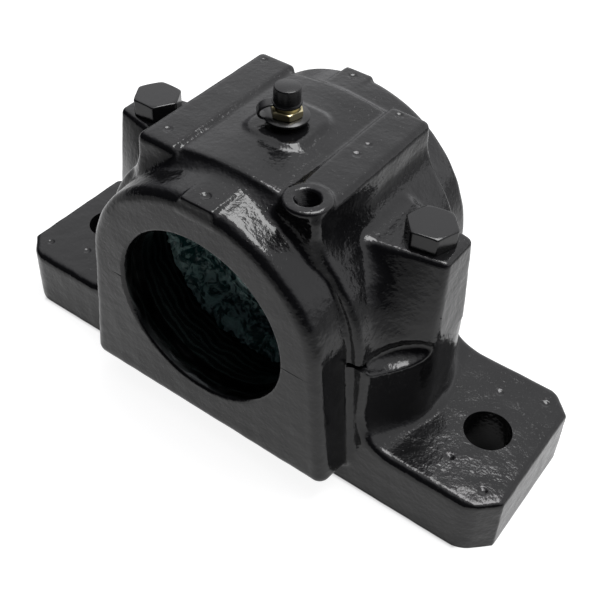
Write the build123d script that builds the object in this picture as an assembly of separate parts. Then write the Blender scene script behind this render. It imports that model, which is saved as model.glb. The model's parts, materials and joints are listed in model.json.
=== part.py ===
from build123d import *
import os
from math import sqrt

# Split pillow block with a self-aligning ball bearing.
# A cast iron base with two bolt-down feet carries a cast cap, held by two hexagon bolts.
# Between them sits a double-row ball bearing, kept in the middle by two locating rings.
# Frame: origin at the middle of the underside, X along the feet, Y along the shaft, Z up.
# The photographed opening faces -Y. All sizes are in millimetres, all angles in degrees.

os.makedirs("parts", exist_ok=True)

# Driving dimensions of the housing
LENGTH = 255.0              # overall length of the base
FOOT_WIDTH = 76.0           # width of the feet
FOOT_HEIGHT = 28.0          # thickness of the feet
HOLE_PITCH = 210.0          # distance between the foot bolt holes
FOOT_HOLE_R = 10.0          # radius of the foot bolt holes
SHAFT_HEIGHT = 70.0         # height of the shaft centre, and of the joint between base and cap
HOUSING_WIDTH = 110.0       # across the two opening faces

# Driving dimensions of the bearing, a 55 x 100 x 21 double-row self-aligning ball bearing
BEARING_BORE_R = 27.5
BEARING_R = 50.0
BEARING_WIDTH = 21.0
BEARING_EDGE = 1.0          # chamfer on the corners of both rings
SHOULDER_R = 34.2           # outside of the inner ring, beside its grooves
BALL_R = 5.25
BALLS_PER_ROW = 17
ROW_OFFSET = 5.6            # from the middle of the bearing to each row of balls
PITCH_R = 38.3              # from the shaft axis to the ball centres
CAGE_OUT_R, CAGE_IN_R = 40.2, 36.2
CAGE_WIDTH = 18.4
POCKET_GAP = 0.15           # play of a ball in its cage pocket
LOCATING_RING_BORE_R = 42.0
LOCATING_RING_GAP = 10.0
RUNNING_GAP = 0.05          # radial clearance of pieces that run or slide in each other

# Opening, seal groove, grease chamber and bearing seat
MOUTH_R = 39.0
MOUTH_CHAMFER = 1.2
GROOVE_R = 43.5
GROOVE_FROM, GROOVE_TO = 44.0, 49.5
CHAMBER_R = 46.0
CHAMBER_TO = 38.0
SEAT_WIDTH = 40.0

# Base casting
WALL_DRAFT = 0.8            # draft of the front, rear and end walls
FOOT_CORNER = 10.0          # chamfer on the corners of the feet
FOOT_ROUND = 2.0            # rounding along the top of the feet
FLARE_X = 65.5              # the body's side, where the concave flare to the feet begins
FLARE_R = 17.0
COLUMN_ROOT_R = 3.0         # fillet where a column stands on the flare
RECESS_X, RECESS_Y = 72.0, 27.0     # half size of the cored recess in the underside
RECESS_DEPTH = 11.0
RECESS_CORNER = 8.0
RECESS_DRAFT = 5.0

# Necks around the openings
NECK_R = 56.5
NECK_FOOT_X = 62.5          # half width of a neck at its lower edge
NECK_BOTTOM = 12.0          # height of that lower edge above the floor
NECK_CORNER = 5.0           # rounding of the two lower corners
NECK_ROUND = 4.5            # rounding of the opening faces' outer edge
NECK_ROOT_R, CAP_NECK_ROOT_R = 3.0, 2.0     # fillets where the necks leave base and cap

# Middle body and bolt columns. The base's column has slanting corners, the cap's leans in as it rises.
BODY_X, BODY_Y = 64.0, 37.0         # half length and half width of the cap at the joint
BODY_TOP = 130.5
BODY_ROUND = 3.0
BODY_FILLET_R = 7.0         # where the arch meets the columns
FLANK_FILLET_R = 5.0        # where the arch meets the rails' block
COLUMN_X = 80.5             # outer face of the columns at the joint
COLUMN_TOP = 110.0          # seat of the bolt heads
COLUMN_TOP_X = 79.0
COLUMN_ROOT_X = 30.0        # the columns start inside the body
BASE_COLUMN_Y = 11.8        # half width of the outer face, base
BASE_COLUMN_SLOPE = 1.618   # run along the shaft per millimetre towards the body
CAP_COLUMN_Y, CAP_COLUMN_SLOPE = 12.2, 0.806        # the same for the cap at the joint
CAP_COLUMN_TOP_Y, CAP_COLUMN_TOP_SLOPE = 9.4, 0.19  # and under the bolt head
COLUMN_ROUND = 2.5
COLUMN_TOP_ROUND = 1.8
BOLT_PITCH = 132.0          # distance between the cap bolts
BOLT_CLEARANCE = 0.75       # radial play of a bolt in the cap
BOLT_HOLE_DEPTH = 27.0      # tapped depth below the joint

# Prising scoop across each corner of the joint, and the slit beside it
SCOOP_X, SCOOP_Y = 73.4, 24.4
SCOOP_ANGLE = -58.3         # direction of its long axis, square to the slanting wall
SCOOP_LENGTH, SCOOP_R = 15.0, 6.6
SLIT_X, SLIT_Y = 64.0, 36.0
SLIT_SIZE = (13.0, 5.0, 1.8)

# Top of the cap: a crowned saddle between two rails, pads on the necks, and two bosses
RAIL_IN, RAIL_OUT = 23.4, 41.3
RAIL_Y = 38.2
RAIL_TOP = 130.0
RAIL_ROUND = 1.2
RAIL_LEAN = 0.06            # how much the rails' outer walls spread per millimetre down
BLOCK_LOW = 94.0            # the rails' block ends inside the body
SADDLE_TOP, SADDLE_EDGE = 131.0, 128.5
SADDLE_SLOPE = 4.7          # the saddle's ends slope at 45 degrees
PAD_TOP = 127.2
PAD_X, PAD_SPREAD, PAD_DEPTH = 7.0, 2.5, 8.0
PAD_FROM, PAD_TO = 35.0, 54.2
FRONT_PAD_X, REAR_PAD_X = 1.4, -2.5
NIPPLE_PAD = 24.0           # raised seat of the grease nipple
NIPPLE_PAD_LENGTH = 26.0
NIPPLE_PAD_Y = 1.0
NIPPLE_PAD_ROUND = 6.0
NIPPLE_PAD_LEAN = 38.7
NIPPLE_PAD_LOW, NIPPLE_PAD_TOP = 127.0, 132.0
NIPPLE_HOLE_LOW = 110.0
PORT_X, PORT_Y = 32.4, -31.2
PORT_R = 4.6                # tapped lubrication port in the rail's boss
PORT_DEPTH = 12.0
PORT_CHANNEL_R = 3.0
PORT_BOSS_R, PORT_BOSS_THICK, PORT_BOSS_FLARE = 9.2, 2.6, 2.4
PORT_BOSS_ROOT_R = 6.5
PORT_TOP = 131.4
PORT_BOSS_HEIGHT = 28.0

# Shallow marks where further holes may be drilled: x, y and the height of the face
MARK_R, MARK_DEPTH = 5.0, 0.7
FOOT_MARKS = [(99.3, 21.1), (117.5, 27.2)]
CAP_MARKS = [(-33.0, -29.0, RAIL_TOP), (-35.5, 32.5, RAIL_TOP), (29.5, 33.2, RAIL_TOP),
             (30.8, 9.5, RAIL_TOP), (30.8, 1.9, RAIL_TOP),
             (FRONT_PAD_X, -48.6, PAD_TOP), (REAR_PAD_X, 49.2, PAD_TOP)]

# Cap bolts
BOLT_R = 6.0
BOLT_HEAD_AF = 18.0
BOLT_HEAD_HEIGHT = 7.5
BOLT_HEAD_TOP_R = 9.6       # where the chamfer of the head starts
BOLT_HEAD_CHAMFER = 30.0
BOLT_LENGTH = 65.0
BOLT_END = 1.0              # chamfer at the tip
BOLT_TURN = {-1: 30.0, 1: 41.0}     # how far each head is turned, left and right

# Dowels
DOWEL_R = 3.0
DOWEL_EDGE = 0.5
DOWEL_LENGTH = 16.0
DOWEL_X, DOWEL_Y = 56.0, 27.0

# Grease nipple with its check ball and spring
NIPPLE_THREAD_R = 4.5
NIPPLE_SHANK = 11.0         # length below the seat
NIPPLE_AF = 10.0
NIPPLE_HEX_HEIGHT = 3.6
NOZZLE_WAIST_R, NOZZLE_R, NOZZLE_TIP_R = 2.6, 3.2, 2.2
NOZZLE_HEIGHT = 5.6
NOZZLE_WAIST_HEIGHT, NOZZLE_BEVEL, NOZZLE_TIP_HEIGHT = 1.6, 0.8, 1.4
NIPPLE_BORE_R = 1.0
NIPPLE_LIP = 0.4            # wall over the chamber, where the ball seats
CHECK_BALL_R = 1.5
CHECK_BALL_PLAY = 0.25
SPRING_WIRE_R = 0.2
SPRING_R = 1.15
SPRING_TURNS = 4

# Dust cap over the nipple, with the ring and strap that hold it
DUST_CAP_R = 5.2
DUST_CAP_TAPER = 0.25
DUST_CAP_TOP = 147.8
DUST_CAP_BORE_R = 3.3
DUST_CAP_ROUND = 0.6
DUST_CAP_GAP = 0.4          # above the hexagon
TETHER_THICK = 1.0
TETHER_R = 8.0
STRAP_WIDTH = 4.0
STRAP_REACH = 3.2           # how far the strap bows out past its ring
STRAP_RISE = 8.2
STRAP_ANGLE = 200.0

HALF_L = LENGTH / 2
HALF_W = FOOT_WIDTH / 2
HALF_A = HOUSING_WIDTH / 2
BOLT_X = BOLT_PITCH / 2
HEX_LOW = NIPPLE_PAD_TOP + TETHER_THICK
HEX_HIGH = HEX_LOW + NIPPLE_HEX_HEIGHT
NOZZLE_TOP = HEX_HIGH + NOZZLE_HEIGHT
CHAMBER_HIGH = NOZZLE_TOP - NIPPLE_LIP
CHECK_BALL_Z = CHAMBER_HIGH - sqrt(CHECK_BALL_R ** 2 - NIPPLE_BORE_R ** 2) - RUNNING_GAP
UPRIGHT = (Align.CENTER, Align.CENTER, Align.MIN)


def at_shaft(shape):
    """Lift a shape that was made about the Y axis to the shaft's height."""
    return Pos(0, 0, SHAFT_HEIGHT) * shape


def turned(points):
    """Revolve a profile given as (distance along the shaft, radius) about the shaft axis."""
    profile = make_face(Polyline(*[(r, y) for y, r in points], close=True))
    return at_shaft(revolve(profile, Axis.Y))


def tube(outer_r, inner_r, width, edge=0.0):
    """A plain ring about the shaft axis, with its outer edges chamfered."""
    blank = Cylinder(outer_r, width)
    if edge:
        blank = chamfer(blank.edges(), edge)
    return at_shaft(Rot(90, 0, 0) * (blank - Cylinder(inner_r, width)))


def drilled(x, y, low, high, radius):
    """An upright round cutter between two heights."""
    return Pos(x, y, low) * Cylinder(radius, high - low, align=UPRIGHT)


def side_view(outline, half_width):
    """Extrude an X-Z outline to both sides of the middle plane."""
    return extrude(Plane.XZ * outline, amount=half_width, both=True)


def mirrored(half):
    """A casting is the same at +X and -X."""
    return half + mirror(half, Plane.YZ)


def quarter_edges(shape, x, y, z):
    """Edges whose middle lies in these ranges of height and of distance from the two middle planes."""
    middles = [(edge, edge.center()) for edge in shape.edges()]
    return [edge for edge, middle in middles
            if x[0] < abs(middle.X) < x[1] and y[0] < abs(middle.Y) < y[1] and z[0] < middle.Z < z[1]]


def drill_mark(x, y, z):
    return Pos(x, y, z + MARK_R - MARK_DEPTH) * Sphere(MARK_R)


def bore_cutter():
    """Everything that is cored and machined along the shaft."""
    seat = SEAT_WIDTH / 2
    right = [(seat, CHAMBER_R), (CHAMBER_TO, CHAMBER_R), (CHAMBER_TO, MOUTH_R), (GROOVE_FROM, MOUTH_R),
             (GROOVE_FROM, GROOVE_R), (GROOVE_TO, GROOVE_R), (GROOVE_TO, MOUTH_R),
             (HALF_A - MOUTH_CHAMFER, MOUTH_R), (HALF_A, MOUTH_R + MOUTH_CHAMFER),
             (HALF_A + 1, MOUTH_R + MOUTH_CHAMFER)]
    left = [(-y, r) for y, r in reversed(right)]
    ends = [(-HALF_A - 1, 0), *left, (-seat, BEARING_R + RUNNING_GAP), (seat, BEARING_R + RUNNING_GAP),
            *right, (HALF_A + 1, 0)]
    return turned(ends)


def scoops():
    """An oval dish across each corner of the joint, where a lever lifts the cap off."""
    half = EllipticalCenterArc((0, 0), SCOOP_LENGTH, SCOOP_R, start_angle=0, arc_size=180)
    oval = revolve(make_face(half + Line(half @ 1, half @ 0)), Axis.X)
    corner = Pos(SCOOP_X, SCOOP_Y, SHAFT_HEIGHT) * Rot(0, 0, SCOOP_ANGLE) * oval
    both = corner + mirror(corner, Plane.XZ)
    return both + mirror(both, Plane.YZ)


def neck(upper):
    """The round neck at each opening, above or below the joint."""
    if upper:
        disc = Pos(0, SHAFT_HEIGHT) * Circle(NECK_R)
        outline = disc & Pos(0, SHAFT_HEIGHT + NECK_R / 2) * Rectangle(3 * NECK_R, NECK_R)
    else:
        outline = make_face(Polyline((-NECK_R, SHAFT_HEIGHT), (-NECK_FOOT_X, NECK_BOTTOM),
                                     (NECK_FOOT_X, NECK_BOTTOM), (NECK_R, SHAFT_HEIGHT), close=True))
        outline = fillet(outline.vertices().group_by(Axis.Y)[0], NECK_CORNER)
    solid = side_view(outline, HALF_A)
    rims = [e for e in solid.edges()
            if abs(abs(e.center().Y) - HALF_A) < 0.01 and abs(e.center().Z - SHAFT_HEIGHT) > 1]
    return fillet(rims, NECK_ROUND)


def column_plan(face_x, face_y, slope):
    """Plan of a bolt column: a narrow outer face between two sides that widen towards the body."""
    root_y = face_y + slope * (face_x - COLUMN_ROOT_X)
    outline = make_face(Polyline((COLUMN_ROOT_X, -root_y), (face_x, -face_y), (face_x, face_y),
                                 (COLUMN_ROOT_X, root_y), close=True))
    return fillet(outline.vertices().group_by(Axis.X)[-1], COLUMN_ROUND)


def housing_base():
    # Feet and flared body are one side view, kept between the drafted walls of the plan.
    plan = chamfer(Rectangle(LENGTH, FOOT_WIDTH).vertices(), FOOT_CORNER)
    walls = extrude(plan, amount=SHAFT_HEIGHT, taper=WALL_DRAFT)
    flare_top = FOOT_HEIGHT + FLARE_R
    outline = make_face(
        Line((0, 0), (0, SHAFT_HEIGHT)) + Line((0, SHAFT_HEIGHT), (FLARE_X, SHAFT_HEIGHT))
        + Line((FLARE_X, SHAFT_HEIGHT), (FLARE_X, flare_top))
        + CenterArc((FLARE_X + FLARE_R, flare_top), FLARE_R, 180, 90)
        + Line((FLARE_X + FLARE_R, FOOT_HEIGHT), (HALF_L, FOOT_HEIGHT))
        + Line((HALF_L, FOOT_HEIGHT), (HALF_L, 0)) + Line((HALF_L, 0), (0, 0)))
    body = walls & mirrored(side_view(outline, HALF_W))
    column = extrude(column_plan(COLUMN_X, BASE_COLUMN_Y, BASE_COLUMN_SLOPE), amount=SHAFT_HEIGHT)
    base = body + mirrored(column & walls)

    # Sand casting has no sharp edges: fillets where the columns stand on the flare, roundings along
    # the walls and the feet, and fillets around the necks.
    just_over = FOOT_HEIGHT + 0.01
    wall_y = BODY_Y - 0.5
    roots = quarter_edges(base, (BODY_X + 7, COLUMN_X + 1), (-1, wall_y - 2), (just_over, FOOT_HEIGHT + 5))
    base = fillet(roots, COLUMN_ROOT_R)
    rims = quarter_edges(base, (NECK_FOOT_X, HALF_L), (wall_y, HALF_W), (FOOT_HEIGHT - 0.1, SHAFT_HEIGHT - 1))
    rims += quarter_edges(base, (HOLE_PITCH / 2, HALF_L), (-1, wall_y), (FOOT_HEIGHT - 0.1, just_over))
    base = fillet(rims, FOOT_ROUND)
    base += neck(False)
    creases = quarter_edges(base, (-1, BODY_X), (wall_y, HALF_W), (NECK_BOTTOM - 1, SHAFT_HEIGHT - 0.1))
    base = fillet(creases, NECK_ROOT_R)

    recess = fillet(Rectangle(2 * RECESS_X, 2 * RECESS_Y).vertices(), RECESS_CORNER)
    base -= extrude(recess, amount=RECESS_DEPTH, taper=RECESS_DRAFT)
    for side in (-1, 1):
        base -= drilled(side * HOLE_PITCH / 2, 0, -1, FOOT_HEIGHT + 1, FOOT_HOLE_R)
        base -= drilled(side * BOLT_X, 0, SHAFT_HEIGHT - BOLT_HOLE_DEPTH, SHAFT_HEIGHT + 1,
                        BOLT_R + 2 * RUNNING_GAP)
        base -= drilled(side * DOWEL_X, side * DOWEL_Y, SHAFT_HEIGHT - DOWEL_LENGTH / 2, SHAFT_HEIGHT + 1,
                        DOWEL_R)
        for end in (-1, 1):
            base -= Pos(side * SLIT_X, end * SLIT_Y, SHAFT_HEIGHT) * Box(*SLIT_SIZE)
            for x, y in FOOT_MARKS:
                base -= drill_mark(side * x, end * y, FOOT_HEIGHT)
    return base - scoops() - bore_cutter()


def housing_cap():
    arch = make_face(ThreePointArc((-BODY_X, SHAFT_HEIGHT), (0, BODY_TOP), (BODY_X, SHAFT_HEIGHT))
                     + Line((BODY_X, SHAFT_HEIGHT), (-BODY_X, SHAFT_HEIGHT)))
    body = side_view(arch, BODY_Y)
    rim = quarter_edges(body, (-1, BODY_X), (-1, BODY_Y + 1), (SHAFT_HEIGHT + 1, BODY_TOP + 1))
    body = fillet(rim, BODY_ROUND)

    # The columns grow narrower and steeper from the joint up to the bolt heads.
    low = Pos(0, 0, SHAFT_HEIGHT) * column_plan(COLUMN_X, CAP_COLUMN_Y, CAP_COLUMN_SLOPE)
    high = Pos(0, 0, COLUMN_TOP) * column_plan(COLUMN_TOP_X, CAP_COLUMN_TOP_Y, CAP_COLUMN_TOP_SLOPE)
    column = loft([low, high], ruled=True)
    rim = quarter_edges(column, (RAIL_OUT, COLUMN_X), (-1, BODY_Y), (COLUMN_TOP - 0.1, COLUMN_TOP + 0.1))
    column = fillet(rim, COLUMN_TOP_ROUND)
    column &= Pos(COLUMN_X, 0, COLUMN_TOP) * Box(4 * COLUMN_X, 2 * BODY_Y - 1, 2 * COLUMN_TOP)
    cap = body + mirrored(column)
    roots = quarter_edges(cap, (RAIL_OUT, BODY_X - 2), (-1, BODY_Y - 5), (SHAFT_HEIGHT + 1, COLUMN_TOP + 1))
    cap = fillet(roots, BODY_FILLET_R)

    # A crowned saddle with sloping ends lies between two flat-topped rails.
    middle = make_face(ThreePointArc((-RAIL_IN, SADDLE_EDGE), (0, SADDLE_TOP), (RAIL_IN, SADDLE_EDGE))
                       + Polyline((RAIL_IN, SADDLE_EDGE), (RAIL_IN, BLOCK_LOW), (-RAIL_IN, BLOCK_LOW),
                                  (-RAIL_IN, SADDLE_EDGE)))
    saddle = side_view(middle, RAIL_Y)
    rim = quarter_edges(saddle, (-1, 1), (BODY_Y, HALF_W + 1), (RAIL_TOP, SADDLE_TOP + 1))
    saddle = chamfer(rim, SADDLE_SLOPE)
    low_x = RAIL_OUT + RAIL_LEAN * (RAIL_TOP - BLOCK_LOW)
    outline = make_face(Polyline((RAIL_IN, BLOCK_LOW), (RAIL_IN, RAIL_TOP), (RAIL_OUT, RAIL_TOP),
                                 (low_x, BLOCK_LOW), close=True))
    rail = side_view(outline, RAIL_Y)
    corners = quarter_edges(rail, (RAIL_OUT, low_x), (BODY_Y, HALF_W + 1), (BLOCK_LOW + 1, RAIL_TOP - 1))
    rail = fillet(corners, BODY_ROUND)
    rim = quarter_edges(rail, (RAIL_IN - 1, low_x), (-1, HALF_W + 1), (RAIL_TOP - 0.1, RAIL_TOP + 0.1))
    cap += saddle + mirrored(fillet(rim, RAIL_ROUND))
    flanks = quarter_edges(cap, (RAIL_OUT - 0.3, low_x + 1), (-1, BODY_Y), (COLUMN_TOP, COLUMN_TOP + 10))
    cap = fillet(flanks, FLANK_FILLET_R)
    cap += neck(True)
    wall_y = BODY_Y - 0.5
    creases = quarter_edges(cap, (RAIL_IN + 0.5, BODY_X), (wall_y, HALF_W + 1), (SHAFT_HEIGHT + 1, PAD_TOP))
    cap = fillet(creases, CAP_NECK_ROOT_R)

    # The port's boss is a disc on a narrower root, which the rail's block swallows.
    profile = Polyline((0, 0), (PORT_BOSS_R, 0), (PORT_BOSS_R, -PORT_BOSS_THICK),
                       (PORT_BOSS_ROOT_R, -PORT_BOSS_THICK - PORT_BOSS_FLARE),
                       (PORT_BOSS_ROOT_R, -PORT_BOSS_HEIGHT), (0, -PORT_BOSS_HEIGHT), close=True)
    cap += Pos(PORT_X, PORT_Y, PORT_TOP) * revolve(make_face(Plane.XZ * profile), Axis.Z)
    pad = make_face(Polyline((-PAD_X - PAD_SPREAD, PAD_TOP - PAD_DEPTH), (-PAD_X, PAD_TOP), (PAD_X, PAD_TOP),
                             (PAD_X + PAD_SPREAD, PAD_TOP - PAD_DEPTH), close=True))
    pad = extrude(Plane.XZ * pad, amount=PAD_TO - PAD_FROM, dir=(0, 1, 0))
    cap += Pos(FRONT_PAD_X, -PAD_TO, 0) * pad
    cap += Pos(REAR_PAD_X, PAD_FROM, 0) * pad
    seat = Rectangle(NIPPLE_PAD, NIPPLE_PAD_LENGTH)
    seat = Pos(0, NIPPLE_PAD_Y, NIPPLE_PAD_TOP) * fillet(seat.vertices(), NIPPLE_PAD_ROUND)
    cap += extrude(seat, amount=NIPPLE_PAD_LOW - NIPPLE_PAD_TOP, taper=-NIPPLE_PAD_LEAN)

    for side in (-1, 1):
        cap -= drilled(side * BOLT_X, 0, SHAFT_HEIGHT - 1, COLUMN_TOP + 1, BOLT_R + BOLT_CLEARANCE)
        cap -= drilled(side * DOWEL_X, side * DOWEL_Y, SHAFT_HEIGHT - 1,
                       SHAFT_HEIGHT + DOWEL_LENGTH / 2 + 1, DOWEL_R + 2 * RUNNING_GAP)
    cap -= drilled(0, 0, NIPPLE_HOLE_LOW, NIPPLE_PAD_TOP + 1, NIPPLE_THREAD_R)
    cap -= drilled(PORT_X, PORT_Y, PORT_TOP - PORT_DEPTH, PORT_TOP + 1, PORT_R)
    cap -= drilled(PORT_X, PORT_Y, SHAFT_HEIGHT + MOUTH_R / 2, PORT_TOP, PORT_CHANNEL_R)
    for mark in CAP_MARKS:
        cap -= drill_mark(*mark)
    return cap - scoops() - bore_cutter()


def cap_bolt(side):
    hexagon = RegularPolygon(BOLT_HEAD_AF / 2, 6, major_radius=False)
    crown = extrude(Pos(0, 0, BOLT_HEAD_HEIGHT) * Circle(BOLT_HEAD_TOP_R), amount=-BOLT_HEAD_HEIGHT,
                    taper=BOLT_HEAD_CHAMFER - 90)
    head = extrude(hexagon, amount=BOLT_HEAD_HEIGHT) & crown
    shank = Pos(0, 0, -BOLT_LENGTH) * Cylinder(BOLT_R, BOLT_LENGTH, align=UPRIGHT)
    shank = chamfer(shank.edges().group_by(Axis.Z)[0], BOLT_END)
    return Pos(side * BOLT_X, 0, COLUMN_TOP) * Rot(0, 0, BOLT_TURN[side]) * (head + shank)


def dowel_pin(side):
    pin = Cylinder(DOWEL_R, DOWEL_LENGTH)
    pin = chamfer(pin.edges(), DOWEL_EDGE)
    return Pos(side * DOWEL_X, side * DOWEL_Y, SHAFT_HEIGHT) * pin


def locating_ring(end):
    """A ring between the bearing and the end of its seat, with a gap at the top."""
    width = (SEAT_WIDTH - BEARING_WIDTH) / 2
    middle = end * (SEAT_WIDTH + BEARING_WIDTH) / 4
    ring = Pos(0, middle, 0) * tube(BEARING_R, LOCATING_RING_BORE_R, width)
    gap = Box(LOCATING_RING_GAP, 2 * width, 2 * (BEARING_R - LOCATING_RING_BORE_R) + 2)
    return ring - Pos(0, middle, SHAFT_HEIGHT + BEARING_R) * gap


def outer_ring():
    """The raceway is one hollow sphere, which lets the inner ring tilt with the shaft."""
    race_r = sqrt(PITCH_R ** 2 + ROW_OFFSET ** 2) + BALL_R + RUNNING_GAP
    return tube(BEARING_R, PITCH_R, BEARING_WIDTH, BEARING_EDGE) - at_shaft(Sphere(race_r))


def ball_places(row):
    """Ball centres of one row, as turns about the shaft. The rows are staggered."""
    step = 360 / BALLS_PER_ROW
    start = 0 if row < 0 else step / 2
    return [at_shaft(Rot(0, start + i * step, 0) * Pos(PITCH_R, row * ROW_OFFSET, 0))
            for i in range(BALLS_PER_ROW)]


def inner_ring():
    """Two grooves for the balls, between a middle rib and two shoulders."""
    half = BEARING_WIDTH / 2
    blank = turned([(-half, BEARING_BORE_R + BEARING_EDGE), (BEARING_EDGE - half, BEARING_BORE_R),
                    (half - BEARING_EDGE, BEARING_BORE_R), (half, BEARING_BORE_R + BEARING_EDGE),
                    (half, SHOULDER_R), (-half, SHOULDER_R)])
    for row in (-1, 1):
        groove = Pos(PITCH_R, row * ROW_OFFSET) * Circle(BALL_R + RUNNING_GAP)
        blank -= at_shaft(revolve(groove, Axis.Y))
    return blank


def cage():
    """A ring with two staggered rows of round pockets, one round each ball."""
    ring = tube(CAGE_OUT_R, CAGE_IN_R, CAGE_WIDTH)
    pocket = Rot(0, 90, 0) * Cylinder(BALL_R + POCKET_GAP, 4 * (CAGE_OUT_R - CAGE_IN_R))
    return ring - [place * pocket for row in (-1, 1) for place in ball_places(row)]


def ball_row(row):
    return Compound([place * Sphere(BALL_R) for place in ball_places(row)])


def nipple_body():
    """Tapped shank, hexagon and a nozzle whose mouth the check ball closes."""
    shank_low = NIPPLE_PAD_TOP - NIPPLE_SHANK
    body = drilled(0, 0, shank_low, HEX_LOW, NIPPLE_THREAD_R - RUNNING_GAP)
    hexagon = RegularPolygon(NIPPLE_AF / 2, 6, major_radius=False)
    body += Pos(0, 0, HEX_LOW) * extrude(hexagon, amount=NIPPLE_HEX_HEIGHT)
    waist_top = HEX_HIGH + NOZZLE_WAIST_HEIGHT
    profile = Polyline((0, HEX_HIGH), (NOZZLE_WAIST_R, HEX_HIGH), (NOZZLE_WAIST_R, waist_top),
                       (NOZZLE_R, waist_top + NOZZLE_BEVEL), (NOZZLE_R, NOZZLE_TOP - NOZZLE_TIP_HEIGHT),
                       (NOZZLE_TIP_R, NOZZLE_TOP), (0, NOZZLE_TOP), close=True)
    body += revolve(make_face(Plane.XZ * profile), Axis.Z)
    body -= drilled(0, 0, shank_low, NOZZLE_TOP + 1, NIPPLE_BORE_R)
    return body - drilled(0, 0, HEX_LOW, CHAMBER_HIGH, CHECK_BALL_R + CHECK_BALL_PLAY)


def nipple_ball():
    return Pos(0, 0, CHECK_BALL_Z) * Sphere(CHECK_BALL_R)


def nipple_spring():
    """A small coil spring that presses the ball up against the mouth of the nozzle."""
    height = CHECK_BALL_Z - CHECK_BALL_R - HEX_LOW - 2 * SPRING_WIRE_R
    coil = Helix(pitch=height / SPRING_TURNS, height=height, radius=SPRING_R)
    wire = sweep(Plane(coil @ 0, z_dir=coil % 0) * Circle(SPRING_WIRE_R), path=coil)
    return Pos(0, 0, HEX_LOW + SPRING_WIRE_R) * wire


def dust_cap():
    """A soft plastic cap over the nozzle, a little wider at its mouth."""
    low = HEX_HIGH + DUST_CAP_GAP
    cap = Pos(0, 0, low) * Solid.make_cone(DUST_CAP_R, DUST_CAP_R - DUST_CAP_TAPER, DUST_CAP_TOP - low)
    cap = fillet(cap.edges().group_by(Axis.Z)[-1], DUST_CAP_ROUND)
    return cap - drilled(0, 0, low, NOZZLE_TOP + 2 * DUST_CAP_GAP, DUST_CAP_BORE_R)


def dust_cap_strap():
    """A flat ring under the nipple's hexagon, with a strap that curls up to the dust cap."""
    ring = Cylinder(TETHER_R, TETHER_THICK, align=UPRIGHT)
    ring = Pos(0, 0, NIPPLE_PAD_TOP) * (ring - Cylinder(NIPPLE_THREAD_R, TETHER_THICK, align=UPRIGHT))
    root, low = TETHER_R - 1, NIPPLE_PAD_TOP
    tip, high = DUST_CAP_R + 2 * RUNNING_GAP, NIPPLE_PAD_TOP + STRAP_RISE
    reach, middle = TETHER_R + STRAP_REACH, NIPPLE_PAD_TOP + STRAP_RISE / 2
    outline = make_face(
        ThreePointArc((root, low), (reach, middle), (tip, high))
        + Line((tip, high), (tip, high - TETHER_THICK))
        + ThreePointArc((tip, high - TETHER_THICK), (reach - TETHER_THICK, middle),
                        (root, low + TETHER_THICK))
        + Line((root, low + TETHER_THICK), (root, low)))
    return ring + Rot(0, 0, STRAP_ANGLE) * side_view(outline, STRAP_WIDTH / 2)


parts = {
    "housing_base": housing_base(),
    "housing_cap": housing_cap(),
    "cap_bolt_left": cap_bolt(-1),
    "cap_bolt_right": cap_bolt(1),
    "dowel_pin_rear": dowel_pin(1),
    "dowel_pin_front": dowel_pin(-1),
    "locating_ring_front": locating_ring(-1),
    "locating_ring_rear": locating_ring(1),
    "bearing_outer_ring": outer_ring(),
    "bearing_inner_ring": inner_ring(),
    "bearing_cage": cage(),
    "ball_row_front": ball_row(-1),
    "ball_row_rear": ball_row(1),
    "nipple_body": nipple_body(),
    "nipple_ball": nipple_ball(),
    "nipple_spring": nipple_spring(),
    "dust_cap": dust_cap(),
    "dust_cap_strap": dust_cap_strap(),
}
for name, shape in parts.items():
    export_step(shape, f"parts/{name}.step")
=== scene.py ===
import json
import math
import bpy
import bmesh
import numpy as np
from mathutils import Matrix, Vector


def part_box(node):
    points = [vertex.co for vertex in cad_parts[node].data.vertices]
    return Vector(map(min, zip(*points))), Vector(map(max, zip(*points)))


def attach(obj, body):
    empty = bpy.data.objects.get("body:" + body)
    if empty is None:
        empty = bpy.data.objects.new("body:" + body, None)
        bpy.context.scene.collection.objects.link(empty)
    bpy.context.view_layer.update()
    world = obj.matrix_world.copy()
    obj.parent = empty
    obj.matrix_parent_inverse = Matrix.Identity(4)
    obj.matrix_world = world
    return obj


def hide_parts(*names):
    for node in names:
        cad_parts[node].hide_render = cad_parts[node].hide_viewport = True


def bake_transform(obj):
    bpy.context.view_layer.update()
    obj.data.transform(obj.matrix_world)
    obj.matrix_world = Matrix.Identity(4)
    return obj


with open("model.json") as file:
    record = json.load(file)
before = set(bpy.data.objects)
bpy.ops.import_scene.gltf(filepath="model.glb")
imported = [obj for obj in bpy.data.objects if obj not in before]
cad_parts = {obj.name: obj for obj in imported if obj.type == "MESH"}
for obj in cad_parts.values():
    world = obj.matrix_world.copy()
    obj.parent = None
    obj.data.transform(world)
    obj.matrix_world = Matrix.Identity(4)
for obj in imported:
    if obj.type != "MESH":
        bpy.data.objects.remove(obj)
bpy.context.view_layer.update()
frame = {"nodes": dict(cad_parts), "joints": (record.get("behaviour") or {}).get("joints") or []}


# View of the photograph. The camera looks down on the front opening from the right,
# through a lens that gives the perspective seen on the two feet.
camera = bpy.data.objects.new("camera", bpy.data.cameras.new("camera"))
bpy.context.scene.collection.objects.link(camera)
bpy.context.scene.camera = camera
camera.data.sensor_width = 36.0
camera.data.lens = 59.48
camera.data.clip_start = 0.01
aim = Vector((0.0159, -0.0088, 0.055))
azimuth, elevation, roll = math.radians(34.33), math.radians(44.19), math.radians(2.65)
distance = 0.41405
look = Vector((-math.sin(azimuth) * math.cos(elevation), math.cos(azimuth) * math.cos(elevation),
               -math.sin(elevation)))
level_right = look.cross(Vector((0, 0, 1))).normalized()
level_up = level_right.cross(look)
right = level_right * math.cos(roll) + level_up * math.sin(roll)
up = right.cross(look)
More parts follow.
